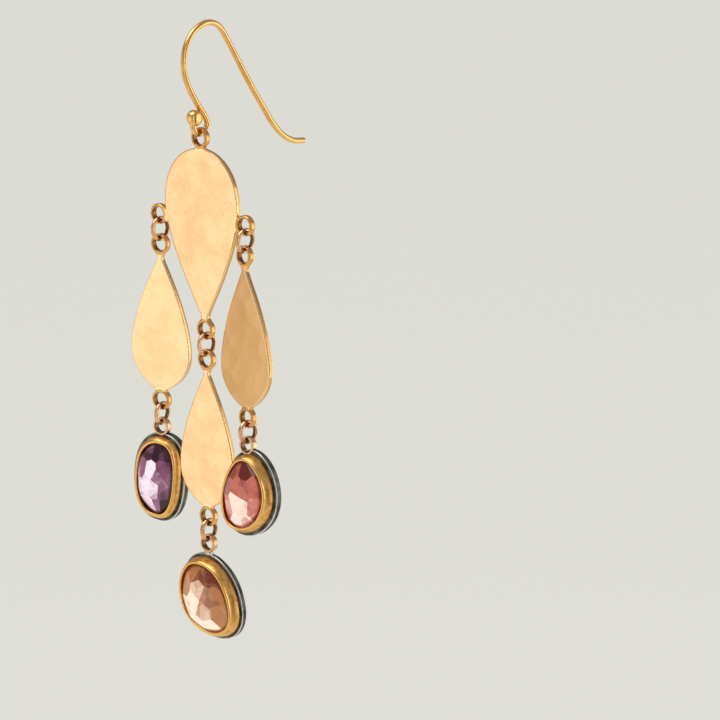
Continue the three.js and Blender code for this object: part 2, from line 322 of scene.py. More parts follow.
def ringTree():
    # A ring at every point given; its section is a rounded bar, thin outwards, deep along the ring's axis
    tree, given, result = newTree("ringsAtPoints", [
        ("Middle Radius", "Float", 1.0), ("Thickness", "Float", 0.4), ("Depth", "Float", 0.9),
        ("Rounding", "Float", 0.15), ("Facing", "Vector", (0, 0, 0)), ("Around", "Int", 96), ("Corner", "Int", 6),
        ("Material", "Material", None)])
    circle = addNode(tree, "GeometryNodeCurvePrimitiveCircle", None, {
        "Resolution": given.outputs["Around"], "Radius": given.outputs["Middle Radius"]})
    upright = addNode(tree, "GeometryNodeSetCurveNormal", None, {"Curve": circle.outputs[0]})
    if "Mode" in upright.inputs:
        upright.inputs["Mode"].default_value = "Z Up"
    else:
        upright.mode = "Z_UP"
    bar = addNode(tree, "GeometryNodeCurvePrimitiveQuadrilateral", None, {
        "Width": given.outputs["Thickness"], "Height": given.outputs["Depth"]})
    section = addNode(tree, "GeometryNodeFilletCurve", None, {"Curve": bar.outputs[0], "Limit Radius": True})
    if "Mode" in section.inputs:
        section.inputs["Mode"].default_value = "Poly"
    else:
        section.mode = "POLY"
    tree.links.new(given.outputs["Corner"], section.inputs["Count"])
    tree.links.new(given.outputs["Rounding"], section.inputs["Radius"])
    swept = addNode(tree, "GeometryNodeCurveToMesh", None, {
        "Curve": upright.outputs[0], "Profile Curve": section.outputs[0]})
    placed = addNode(tree, "GeometryNodeInstanceOnPoints", None, {
        "Points": given.outputs["Geometry"], "Instance": swept.outputs[0]})
    facing = addNode(tree, "FunctionNodeEulerToRotation", None, {"Euler": given.outputs["Facing"]})
    tree.links.new(facing.outputs[0], placed.inputs["Rotation"])
    return closeTree(tree, given, result, placed.outputs[0])


def wireTree():
    # Round wire along an open line of points
    tree, given, result = newTree("wireAlongLine", [
        ("Radius", "Float", 0.4), ("Sides", "Int", 24), ("Material", "Material", None)])
    line = addNode(tree, "GeometryNodeMeshToCurve", None, {"Mesh": given.outputs["Geometry"]})
    section = addNode(tree, "GeometryNodeCurvePrimitiveCircle", None, {
        "Resolution": given.outputs["Sides"], "Radius": given.outputs["Radius"]})
    swept = addNode(tree, "GeometryNodeCurveToMesh", None, {
        "Curve": line.outputs[0], "Profile Curve": section.outputs[0], "Fill Caps": True})
    return closeTree(tree, given, result, swept.outputs[0])


def planishTree():
    # Soft overlapping hammer marks pressed into a surface
    tree, given, result = newTree("planished", [
        ("Mark Size", "Float", 2.0), ("Mark Depth", "Float", 0.03), ("Seed", "Vector", (0, 0, 0)),
        ("Material", "Material", None)])
    where = addNode(tree, "GeometryNodeInputPosition")
    shifted = addNode(tree, "ShaderNodeVectorMath", {"operation": "ADD"})
    tree.links.new(where.outputs[0], shifted.inputs[0])
    tree.links.new(given.outputs["Seed"], shifted.inputs[1])
    density = addNode(tree, "ShaderNodeMath", {"operation": "DIVIDE"})
    density.inputs[0].default_value = 1.0
    tree.links.new(given.outputs["Mark Size"], density.inputs[1])
    marks = addNode(tree, "ShaderNodeTexVoronoi", {"feature": "SMOOTH_F1"}, {
        "Vector": shifted.outputs[0], "Scale": density.outputs[0], "Smoothness": 0.35})
    squared = addNode(tree, "ShaderNodeMath", {"operation": "POWER"})
    tree.links.new(marks.outputs["Distance"], squared.inputs[0])
    squared.inputs[1].default_value = 2.0
    lift = addNode(tree, "ShaderNodeMath", {"operation": "MULTIPLY"})
    tree.links.new(squared.outputs[0], lift.inputs[0])
    tree.links.new(given.outputs["Mark Depth"], lift.inputs[1])
    normal = addNode(tree, "GeometryNodeInputNormal")
    along = addNode(tree, "ShaderNodeVectorMath", {"operation": "SCALE"})
    tree.links.new(normal.outputs[0], along.inputs[0])
    tree.links.new(lift.outputs[0], along.inputs["Scale"])
    moved = addNode(tree, "GeometryNodeSetPosition", None, {
        "Geometry": given.outputs["Geometry"], "Offset": along.outputs[0]})
    return closeTree(tree, given, result, moved.outputs[0])


def newPiece(name, mesh):
    piece = bpy.data.objects.new(name, mesh)
    bpy.context.scene.collection.objects.link(piece)
    return piece


def grow(piece, tree, **values):
    modifier = piece.modifiers.new(tree.name, "NODES")
    modifier.node_group = tree
    for item in tree.interface.items_tree:
        key = item.name.replace(" ", "")
        key = key[0].lower() + key[1:]
        if item.in_out == "INPUT" and key in values:
            modifier[item.identifier] = values[key]


def applied(piece):
    # Bakes every modifier of a piece into its mesh
    bpy.context.view_layer.update()
    graph = bpy.context.evaluated_depsgraph_get()
    mesh = bpy.data.meshes.new_from_object(piece.evaluated_get(graph))
    piece.modifiers.clear()
    piece.data = mesh
    return piece


def pointsMesh(name, points, line=False):
    mesh = bpy.data.meshes.new(name)
    edges = [(i, i + 1) for i in range(len(points) - 1)] if line else []
    mesh.from_pydata([tuple(p) for p in points], edges, [])
    return mesh


def joinMeshes(name, pieces):
    whole = bmesh.new()
    for piece in pieces:
        whole.from_mesh(piece.data)
        bpy.data.objects.remove(piece)
    mesh = bpy.data.meshes.new(name)
    whole.to_mesh(mesh)
    whole.free()
    return newPiece(name, mesh)


def fused(piece, voxel, smoothing):
    # Melts overlapping closed shells into one skin and softens where they meet
    remesh = piece.modifiers.new("fuse", "REMESH")
    remesh.mode = "VOXEL"
    remesh.voxel_size = voxel
    soften = piece.modifiers.new("soften", "SMOOTH")
    soften.factor = 0.5
    soften.iterations = smoothing
    return applied(piece)


def finishPiece(piece, place, material, body, nodes, smooth=True):
    # Puts a piece at its place in metres, paints it and ties it to the frame
    piece.data.transform(Matrix.Scale(metres, 4) @ place)
    piece.data.materials.clear()
    piece.data.materials.append(material)
    for face in piece.data.polygons:
        face.material_index = 0
        face.use_smooth = smooth
    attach(piece, body)
    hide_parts(*nodes)
    return piece


rings = ringTree()
wires = wireTree()
planished = planishTree()


cameraView = {
    "azimuth": 42.0, "elevation": 12.0, "rollDeg": 1.3, "distance": 600.0, "frameWidth": 93.5,
    "sensor": 36.0, "aimRight": 19.32, "aimUp": -43.75,
}


def addCamera():
    turn = math.radians(cameraView["azimuth"])
    tilt = math.radians(cameraView["elevation"])
    toCamera = Vector((math.sin(turn) * math.cos(tilt), -math.cos(turn) * math.cos(tilt), math.sin(tilt)))
    right = Vector((math.cos(turn), math.sin(turn), 0))
    up = toCamera.cross(right)
    aim = right * cameraView["aimRight"] + up * cameraView["aimUp"]
    rolledUp = (up + right * math.tan(math.radians(cameraView["rollDeg"]))).normalized()
    rolledRight = rolledUp.cross(toCamera)
    data = bpy.data.cameras.new("camera")
    data.sensor_width = cameraView["sensor"]
    data.lens = cameraView["sensor"] * cameraView["distance"] / cameraView["frameWidth"]
    camera = bpy.data.objects.new("camera", data)
    bpy.context.scene.collection.objects.link(camera)
    place = Matrix((rolledRight, rolledUp, toCamera)).transposed().to_4x4()
    place.translation = (aim + toCamera * cameraView["distance"]) * metres
    camera.matrix_world = place
    bpy.context.scene.camera = camera


lightRig = [  # glow is how bright the panel itself looks, 1 being white
    {"name": "frontLeftSoftbox", "at": (-420, -740, -60), "size": (560, 560), "glow": 0.58, "tint": (1.0, 0.985, 0.975)},
    {"name": "warmReflector", "at": (-730, -325, -40), "size": (380, 600), "glow": 0.58, "tint": (1.0, 0.74, 0.34)},
    {"name": "topSoftbox", "at": (-150, -150, 600), "size": (600, 600), "glow": 2.0, "tint": (1.0, 0.99, 0.98)},
    {"name": "rightStrip", "at": (620, -330, 80), "size": (110, 500), "glow": 3.0, "tint": (1.0, 0.99, 0.97)},
    {"name": "backRightPanel", "at": (470, 480, -90), "size": (420, 500), "glow": 1.15, "tint": (1.0, 0.96, 0.88)},
]
flags = [  # dark cards that give polished metal its dark side; the camera never sees them
    {"name": "leftFlag", "at": (-750, -334, -41), "size": (400, 640)},
    {"name": "rightFlag", "at": (420, 60, -120), "size": (180, 420)},
    {"name": "frontFlag", "at": (90, -420, -230), "size": (160, 420)},
]
surroundings = {
    "colour": (0.95, 0.95, 0.92), "strength": 0.40, "floorZ": -320, "floorHalf": 4000,
    "floor": (0.30, 0.30, 0.285), "floorGlow": (0.585, 0.585, 0.54), "flag": (0.02, 0.018, 0.016),
}


def addLights():
    world = bpy.data.worlds.new("studio")
    world.use_nodes = True
    backdrop = world.node_tree.nodes["Background"]
    backdrop.inputs["Color"].default_value = (*surroundings["colour"], 1)
    backdrop.inputs["Strength"].default_value = surroundings["strength"]
    bpy.context.scene.world = world
    centre = (cadBox[0] + cadBox[1]) / 2
    for lamp in lightRig:
        data = bpy.data.lights.new(lamp["name"], "AREA")
        data.shape = "RECTANGLE"
        data.size, data.size_y = (side * metres for side in lamp["size"])
        data.energy = lamp["glow"] * math.pi * data.size * data.size_y
        data.color = lamp["tint"]
        light = bpy.data.objects.new(lamp["name"], data)
        light.location = Vector(lamp["at"]) * metres
        light.rotation_euler = (light.location - centre).to_track_quat("Z", "Y").to_euler()
        bpy.context.scene.collection.objects.link(light)


def addPanel(name, width, height, place, material):
    sheet = bmesh.new()
    bmesh.ops.create_grid(sheet, x_segments=4, y_segments=4, size=0.5)
    mesh = bpy.data.meshes.new(name)
    sheet.to_mesh(mesh)
    sheet.free()
    mesh.transform(place @ Matrix.Diagonal((width * metres, height * metres, 1, 1)))
    mesh.materials.append(material)
    panel = newPiece(name, mesh)
    return panel


def addFloor():
    finish = Finish("paleFloor")
    wash = finish.grain(0.002, 2.0)
    tone = finish.mix(wash, surroundings["floor"], tuple(0.97 * c for c in surroundings["floor"]))
    material = finish.shade({
        "Base Color": tone, "Roughness": 0.9, "Emission Color": surroundings["floorGlow"], "Emission Strength": 1.0})
    side = 2 * surroundings["floorHalf"]
    addPanel("floor", side, side, Matrix.Translation((0, 0, surroundings["floorZ"] * metres)), material)


def addFlags():
    material = Finish("blackCard").shade({"Base Color": surroundings["flag"], "Roughness": 0.9})
    centre = (cadBox[0] + cadBox[1]) / 2
    for flag in flags:
        spot = Vector(flag["at"]) * metres
        facing = (centre - spot).to_track_quat("Z", "Y").to_matrix().to_4x4()
        card = addPanel(flag["name"], *flag["size"], Matrix.Translation(spot) @ facing, material)
        card.visible_camera = False
        card.visible_shadow = False


bpy.context.scene.view_settings.view_transform = "Standard"
addCamera()
addLights()
addFloor()
addFlags()
print("camera, light and floor are set")


hinge = Vector(frame["joints"][0]["pos_m"]) / metres  # centre of the wire at the foot of the U bend
clearance = 0.05
plateRing = {"bore": 0.96, "thickness": 0.42, "depth": 0.9, "rounding": 0.18}
settingRing = {"bore": 0.86, "thickness": 0.38, "depth": 0.9, "rounding": 0.14}
wireRadius = 0.4
topRing = hinge - Vector((0, 0, plateRing["bore"] - wireRadius - clearance))
dropPlace = Matrix.Translation(topRing)


def ringPiece(name, centres, ring, facing, material):
    piece = newPiece(name, pointsMesh(name, centres))
    grow(piece, rings, middleRadius=ring["bore"] + ring["thickness"] / 2, thickness=ring["thickness"],
         depth=ring["depth"], rounding=ring["rounding"], facing=facing, material=material)
    return applied(piece)


faceFront = (math.pi / 2, 0, 0)  # ring axis along Y
faceSide = (0, math.pi / 2, 0)  # ring axis along X


def darkenInside(piece, ring, facing):
    # Patina that polishing has left on the inner third of a ring, together with painted shade in its bore
    patina = piece.data.attributes.new("patina", "FLOAT", "POINT")
    for vertex in piece.data.vertices:
        x, y, z = vertex.co
        away = math.hypot(x, z) if facing == faceFront else math.hypot(y, z)
        inner = (ring["bore"] + 0.5 * ring["thickness"] - away) / (0.4 * ring["thickness"])
        patina.data[vertex.index].value = min(1, max(0, inner))


earWire = {
    "bendRadius": 1.35, "bendFromDeg": 165, "bendToDeg": 349, "bendStepDeg": 23, "steps": 12, "sides": 28,
    "ball": {"radius": 1.07, "halfThickness": 0.8, "y": -2.2, "z": -11.7, "squareness": 3.0},
    "route": [
        {"y": -0.03, "z": -12.2}, {"y": -0.72, "z": -11.1}, {"y": -1.58, "z": -10.0}, {"y": -3.13, "z": -7.55},
        {"y": -3.85, "z": -5.7}, {"y": -3.92, "z": -4.3}, {"y": -3.45, "z": -2.3}, {"y": -2.0, "z": -0.47},
        {"y": 0.1, "z": 0.4}, {"y": 1.7, "z": 0.3}, {"y": 2.98, "z": -0.4}, {"y": 4.42, "z": -2.3},
        {"y": 6.13, "z": -4.97}, {"y": 8.34, "z": -8.4}, {"y": 10.68, "z": -11.7}, {"y": 12.71, "z": -14.47},
        {"y": 14.6, "z": -16.24}, {"y": 16.53, "z": -17.2}, {"y": 18.6, "z": -17.5},
    ],
}


def throughPoints(points, steps):
    # Centripetal Catmull-Rom curve through the points
    ends = [2 * points[0] - points[1], *points, 2 * points[-1] - points[-2]]
    line = [points[0]]
    for i in range(1, len(ends) - 2):
        p = ends[i - 1:i + 3]
        t = [0.0]
        for a, b in zip(p, p[1:]):
            t.append(t[-1] + math.sqrt((b - a).length))
        for step in range(1, steps + 1):
            u = t[1] + (t[2] - t[1]) * step / steps
            level = list(p)
            for span in (1, 2):
                level = [level[k].lerp(level[k + 1], (u - t[k]) / (t[k + span] - t[k])) for k in range(len(level) - 1)]
            line.append(level[0].lerp(level[1], (u - t[1]) / (t[2] - t[1])))
    return line


def ballMesh(ball):
    # Wire end melted to a ball and hammered flat on both sides
    solid = bmesh.new()
    bmesh.ops.create_uvsphere(solid, u_segments=48, v_segments=32, radius=1.0)
    power = ball["squareness"]
    for vertex in solid.verts:
        x, y, z = vertex.co
        flat = max(-1, min(1, z))
        around = math.hypot(x, y)
        size = (abs(flat) ** power + around ** power) ** (-1 / power)
        dent = 1 + 0.03 * noise.noise(Vector((x, y, z)) * 1.6)
        across = ball["radius"] * size * dent
        vertex.co = Vector((flat * size * ball["halfThickness"] * dent, y * across + ball["y"], x * across + ball["z"]))
    bmesh.ops.recalc_face_normals(solid, faces=solid.faces)
    mesh = bpy.data.meshes.new("ball")
    solid.to_mesh(mesh)
    solid.free()
    return mesh


def makeEarWire():
    centre = hinge + Vector((0, 0, earWire["bendRadius"]))
    points = []
    for degrees in range(earWire["bendFromDeg"], earWire["bendToDeg"] + 1, earWire["bendStepDeg"]):
        angle = math.radians(degrees)
        points.append(centre + earWire["bendRadius"] * Vector((0, math.cos(angle), math.sin(angle))))
    points += [Vector((0, row["y"], row["z"])) for row in earWire["route"]]
    material = wireGold()
    piece = newPiece("earHook", pointsMesh("earHook", throughPoints(points, earWire["steps"]), line=True))
    grow(piece, wires, radius=wireRadius, sides=earWire["sides"], material=material)
    applied(piece)
    ball = newPiece("ball", ballMesh(earWire["ball"]))
    union = piece.modifiers.new("ball", "BOOLEAN")
    union.operation = "UNION"
    union.solver = "EXACT"
    union.object = ball
    applied(piece)
    bpy.data.objects.remove(ball)
    return finishPiece(piece, Matrix(), material, "ear_hook", ["ear_hook"])


makeEarWire()
print("ear wire is bent")


mainPlate = {
    "thickness": 0.75, "halfWidth": 6.5, "ringToRing": 25.5, "widestBelow": 9.3, "top": 1.4, "tip": 24.5,
    "upperFullness": 2.3, "upperPower": 0.5, "lowerFullness": 1.55, "lowerPower": 1.08,
    "seed": (3, 1, 7), "markSize": 3.2, "markDepth": 0.03,
}
sideRings = {"left": -7.85, "right": 7.65, "below": 10.85}
sideTab = {"halfHeight": 0.85, "overlap": 0.6}
smallPlate = {
    "thickness": 0.72, "halfWidth": 4.75, "ringToRing": 21.35, "widestBelow": 14.5, "top": 1.65, "tip": 20.15,
    "upperFullness": 1.62, "upperPower": 1.0, "lowerFullness": 2.2, "lowerPower": 0.72,
    "markSize": 2.6, "markDepth": 0.03,
}
neck = {"halfWidth": 0.3, "flare": 0.5, "flareLength": 0.9}  # where a plate meets its rings
plateSkin = {"samples": 90, "voxel": 0.09, "smoothing": 5}


def plateHalfWidth(plate, below, fromEnd):
    isUpper = below < plate["widestBelow"]
    span = plate["widestBelow"] - plate["top"] if isUpper else plate["tip"] - plate["widestBelow"]
    away = min(1, abs(below - plate["widestBelow"]) / span)
    fullness = plate["upperFullness"] if isUpper else plate["lowerFullness"]
    power = plate["upperPower"] if isUpper else plate["lowerPower"]
    flare = neck["flare"] * max(0, 1 - fromEnd / neck["flareLength"]) ** 2
    return math.hypot(neck["halfWidth"] + flare, plate["halfWidth"] * (1 - away ** fullness) ** power)


def plateSlab(plate):
    wall = plateRing["bore"] + plateRing["thickness"] / 2
    first, last = wall, plate["ringToRing"] - wall
    count = plateSkin["samples"]
    right = []
    for i in range(count + 1):
        below = first + (last - first) * (1 - math.cos(math.pi * i / count)) / 2
        right.append((plateHalfWidth(plate, below, min(below - first, last - below)), -below))
    outline = right + [(-x, z) for x, z in reversed(right)]
    slab = bmesh.new()
    half = plate["thickness"] / 2
    face = slab.faces.new([slab.verts.new((x, -half, z)) for x, z in outline])
    pulled = bmesh.ops.extrude_face_region(slab, geom=[face])
    bmesh.ops.translate(slab, vec=(0, 2 * half, 0), verts=[v for v in pulled["geom"] if isinstance(v, bmesh.types.BMVert)])
    bmesh.ops.recalc_face_normals(slab, faces=slab.faces)
    mesh = bpy.data.meshes.new("slab")
    slab.to_mesh(mesh)
    slab.free()
    return newPiece("slab", mesh)


def sideTabBlock(ringX):
    # Solder from inside the plate's edge to the middle of a side ring's wall
    outer = abs(ringX) - plateRing["bore"] - plateRing["thickness"] / 2
    inner = mainPlate["halfWidth"] - sideTab["overlap"]
    size = (outer - inner, mainPlate["thickness"], 2 * sideTab["halfHeight"], 1)
    centre = (math.copysign((outer + inner) / 2, ringX), 0, -sideRings["below"])
    block = bmesh.new()
    bmesh.ops.create_cube(block, size=1, matrix=Matrix.Translation(centre) @ Matrix.Diagonal(size))
    mesh = bpy.data.meshes.new("sideTab")
    block.to_mesh(mesh)
    block.free()
    return newPiece("sideTab", mesh)


def markEdgeShadingAndPatina(piece, plate, ringCentres):
    # Painted shade as a deeper colour on the sawn edge and the soldered rings, darker towards the edge's back and
    # leaving a painted highlight line at its front corner, and dark patina with painted shade inside the rings
    warmth = piece.data.attributes.new("warmth", "FLOAT", "POINT")
    patina = piece.data.attributes.new("patina", "FLOAT", "POINT")
    outer = plateRing["bore"] + plateRing["thickness"]
    half = plate["thickness"] / 2
    for vertex in piece.data.vertices:
        x, y, z = vertex.co
        toRing = min(math.hypot(x - cx, z - cz) for cx, _, cz in ringCentres)
        # Painted shade near the rings and on the sawn edge, growing darker towards the edge's back
        ring = 0.7 * min(1, max(0, (outer + 0.35 - toRing) / 0.35))
        sawn = min(1, max(0, (half - 0.06 - abs(y)) / 0.1)) * (0.45 + 0.55 * (y + half) / (2 * half))
        warmth.data[vertex.index].value = max(ring, sawn)
        patina.data[vertex.index].value = min(1, max(0, (plateRing["bore"] + 0.13 - toRing) / 0.12))


def makePlate(name, plate, ringCentres, place, seed, material, node, extras=()):
    loops = ringPiece(name + "Rings", ringCentres, plateRing, faceFront, material)
    piece = joinMeshes(name, [plateSlab(plate), loops, *extras])
    fused(piece, plateSkin["voxel"], plateSkin["smoothing"])
    grow(piece, planished, markSize=plate["markSize"], markDepth=plate["markDepth"], seed=seed, material=material)
    applied(piece)
    markEdgeShadingAndPatina(piece, plate, ringCentres)
    return finishPiece(piece, place, material, "drop", [node])


goldOfPlates = satinGold()
goldOfLinks = roseGold()
makePlate("mainPlate", mainPlate, [
    (0, 0, 0), (0, 0, -mainPlate["ringToRing"]),
    (sideRings["left"], 0, -sideRings["below"]), (sideRings["right"], 0, -sideRings["below"]),
], dropPlace, mainPlate["seed"], goldOfPlates, "main_plate",
    [sideTabBlock(sideRings["left"]), sideTabBlock(sideRings["right"])])
print("main plate is cut and soldered")


setting = {
    "back": [  # section of the silver back, from its rear face round the edge to the front; deep is 1 at the rear
        {"deep": 1.0, "reach": 0.2, "worn": 0.0}, {"deep": 1.0, "reach": 1.0, "worn": 0.1},
        {"deep": 0.96, "reach": 1.14, "worn": 1.0}, {"deep": 0.85, "reach": 1.21, "worn": 0.6},
        {"deep": 0.73, "reach": 1.23, "worn": 0.0}, {"deep": 0.24, "reach": 1.24, "worn": 0.0},
        {"deep": 0.1, "reach": 1.24, "worn": 0.7}, {"deep": 0.02, "reach": 1.18, "worn": 1.0},
        {"deep": 0.0, "reach": 1.08, "worn": 0.1}, {"deep": 0.0, "reach": 0.5, "worn": 0.0},
    ],
    "wall": [  # section of the bezel, up the outside, over the lip and down the inside; up is 1 at the rim
        {"up": 0.0, "reach": 0.78, "burnish": 0.0}, {"up": 0.18, "reach": 0.74, "burnish": 0.0},
        {"up": 0.42, "reach": 0.68, "burnish": 0.0}, {"up": 0.66, "reach": 0.58, "burnish": 0.0},
        {"up": 0.84, "reach": 0.45, "burnish": 0.1}, {"up": 0.94, "reach": 0.35, "burnish": 0.8},
        {"up": 1.0, "reach": 0.25, "burnish": 1.0}, {"up": 1.02, "reach": 0.12, "burnish": 1.0},
        {"up": 0.99, "reach": 0.0, "burnish": 1.0}, {"up": 0.92, "reach": -0.03, "burnish": 0.6},
        {"up": 0.66, "reach": 0.1, "burnish": 0.0}, {"up": 0.0, "reach": 0.3, "burnish": 0.0},
    ],
    "flangeY": -0.4, "wallFootY": -0.36, "around": 200, "wobble": 0.07,
}


def backRows(shape):
    front, depth = setting["flangeY"], shape["backY"] - setting["flangeY"]
    return [{**row, "y": front + depth * row["deep"], "reach": row["reach"] + shape["backExtra"]}
            for row in setting["back"]]


def wallRows(shape):
    foot, height = setting["wallFootY"], shape["rimY"] - setting["wallFootY"]
    return [{**row, "y": foot + height * row["up"]} for row in setting["wall"]]


def outlinePoint(shape, angle, reach):
    # A point on the stone's outline as seen from the front, moved outwards by a reach
    def face(a):
        c, s = math.cos(a), math.sin(a)
        power = shape["roundness"]
        rise = math.copysign(abs(s) ** power, s)
        across = shape["halfWidth"] * math.copysign(abs(c) ** power, c) * (1 + shape["taper"] * rise)
        return Vector((across + shape["bow"] * rise ** 2, shape["halfHeight"] * rise))
    step = 0.02
    along = face(angle + step) - face(angle - step)
    along.normalize()
    point = face(angle) + Vector((along.y, -along.x)) * reach
    point.rotate(Matrix.Rotation(math.radians(shape["tiltDeg"]), 2))
    return Vector((shape["x"] + point.x, shape["z"] + point.y))


def outlineAngles(count):
    return [2 * math.pi * (i + 0.5) / count for i in range(count)]


def loftRows(name, shape, rows, attribute, key, wobble, capped):
    # Skin through outlines; closed into a tube, or capped at both ends
    around = setting["around"]
    mesh = bmesh.new()
    layer = mesh.verts.layers.float.new(attribute)
    grid = []
    for row in rows(shape):
        ring = []
        for angle in outlineAngles(around):
            seed = Vector((math.cos(angle) * 1.6, math.sin(angle) * 1.6, row["y"] * 0.8 + shape["x"] * 5))
            reach = row["reach"] + wobble * noise.noise(seed)
            x, z = outlinePoint(shape, angle, reach)
            vertex = mesh.verts.new((x, row["y"] + 0.3 * wobble * noise.noise(seed * 1.3), z))
            vertex[layer] = row[key]
            ring.append(vertex)
        grid.append(ring)
    pairs = list(zip(grid, grid[1:])) + ([] if capped else [(grid[-1], grid[0])])
    for near, far in pairs:
        for i in range(around):
            k = (i + 1) % around
            mesh.faces.new((near[i], near[k], far[k], far[i]))
    if capped:
        mesh.faces.new(grid[0])
        mesh.faces.new(grid[-1])
    bmesh.ops.recalc_face_normals(mesh, faces=mesh.faces)
    data = bpy.data.meshes.new(name)
    mesh.to_mesh(data)
    mesh.free()
    return newPiece(name, data)


solder = {"halfWidth": 0.75, "halfDepth": 0.4, "halfHeight": 0.55, "z": -1.45, "y": -0.02}


def makeSetting(name, shape, place, finishes, node):
    back = loftRows(name + "Back", shape, backRows, "wornEdge", "worn", 0.04, True)
    finishPiece(back, place, finishes["silver"], "drop", [node])
    bezel = loftRows(name + "Bezel", shape, wallRows, "burnished", "burnish", setting["wobble"], False)
    finishPiece(bezel, place, finishes["bezel"], "drop", [node])
    loop = ringPiece(name + "Ring", [(0, 0, 0)], settingRing, faceFront, finishes["ring"])
    darkenInside(loop, settingRing, faceFront)
    finishPiece(loop, place, finishes["ring"], "drop", [node])
    bead = bmesh.new()
    bmesh.ops.create_uvsphere(bead, u_segments=32, v_segments=20, radius=1.0)
    for vertex in bead.verts:
        vertex.co *= 1 + 0.12 * noise.noise(vertex.co * 1.5)
        vertex.co = Vector((vertex.co.x * solder["halfWidth"], vertex.co.y * solder["halfDepth"] + solder["y"],
                            vertex.co.z * solder["halfHeight"] + solder["z"]))
    mesh = bpy.data.meshes.new(name + "Solder")
    bead.to_mesh(mesh)
    bead.free()
    finishPiece(newPiece(name + "Solder", mesh), place, finishes["solder"], "drop", [node])


stoneCut = {"backY": -0.38, "crownRise": 0.95, "inside": 0.12, "around": 120}


def makeStone(name, shape, cuts, place, material, node):
    # A slab of the outline's shape, then one flat cut for each facet
    gem = bmesh.new()
    facetLightLayer = gem.faces.layers.float.new("tone")
    back, front = [], []
    for angle in outlineAngles(stoneCut["around"]):
        x, z = outlinePoint(shape, angle, stoneCut["inside"])
        back.append(gem.verts.new((x, stoneCut["backY"], z)))
        front.append(gem.verts.new((x, shape["rimY"] - stoneCut["crownRise"], z)))
    gem.faces.new(back)
    gem.faces.new(front)
    for i in range(len(back)):
        k = (i + 1) % len(back)
        gem.faces.new((back[i], back[k], front[k], front[i]))
    bmesh.ops.recalc_face_normals(gem, faces=gem.faces)
    # Each facet's tone is painted light: how brightly it reflects, from painted shade to painted highlight
    for face in gem.faces:
        face[facetLightLayer] = cuts["tableTone"]
    for cut in cuts["facets"]:
        turn, slope = math.radians(cut["turn"]), math.radians(cut["slope"])
        outward = Vector((math.cos(turn), 0, math.sin(turn)))
        normal = outward * math.sin(slope) + Vector((0, -math.cos(slope), 0))
        start = Vector((shape["x"], shape["rimY"] - cut["rise"], shape["z"])) + outward * cut["out"]
        parts = gem.verts[:] + gem.edges[:] + gem.faces[:]
        result = bmesh.ops.bisect_plane(gem, geom=parts, plane_co=start, plane_no=normal, clear_outer=True)
        edges = [e for e in result["geom_cut"] if isinstance(e, bmesh.types.BMEdge)]
        if edges:
            made = bmesh.ops.edgeloop_fill(gem, edges=edges)
            for face in made["faces"]:
                face[facetLightLayer] = cut["tone"]
    return finishGem(name, gem, shape, place, material, node)


def finishGem(name, gem, shape, place, material, node):
    # Splits the facets finely enough to carry their painted light tone and how far each point is from the rim
    facetLightLayer = gem.faces.layers.float["tone"]
    bmesh.ops.triangulate(gem, faces=gem.faces)
    bmesh.ops.recalc_face_normals(gem, faces=gem.faces)
    bmesh.ops.split_edges(gem, edges=[e for e in gem.edges if e.calc_face_angle(0) > math.radians(1)])
    for _ in range(3):
        bmesh.ops.subdivide_edges(gem, edges=[e for e in gem.edges if e.calc_length() > 0.5], cuts=1, use_grid_fill=True)
        bmesh.ops.triangulate(gem, faces=gem.faces)
    tones = gem.verts.layers.float.new("facetTone")
    inward = gem.verts.layers.float.new("rimDistance")
    rim = [outlinePoint(shape, angle, 0) for angle in outlineAngles(90)]
    for face in gem.faces:
        for vertex in face.verts:
            vertex[tones] = face[facetLightLayer]
    for vertex in gem.verts:
        spot = Vector((vertex.co.x, vertex.co.z))
        vertex[inward] = min((spot - p).length for p in rim)
    mesh = bpy.data.meshes.new(name)
    gem.to_mesh(mesh)
    gem.free()
    return finishPiece(newPiece(name, mesh), place, material, "drop", [node], smooth=False)


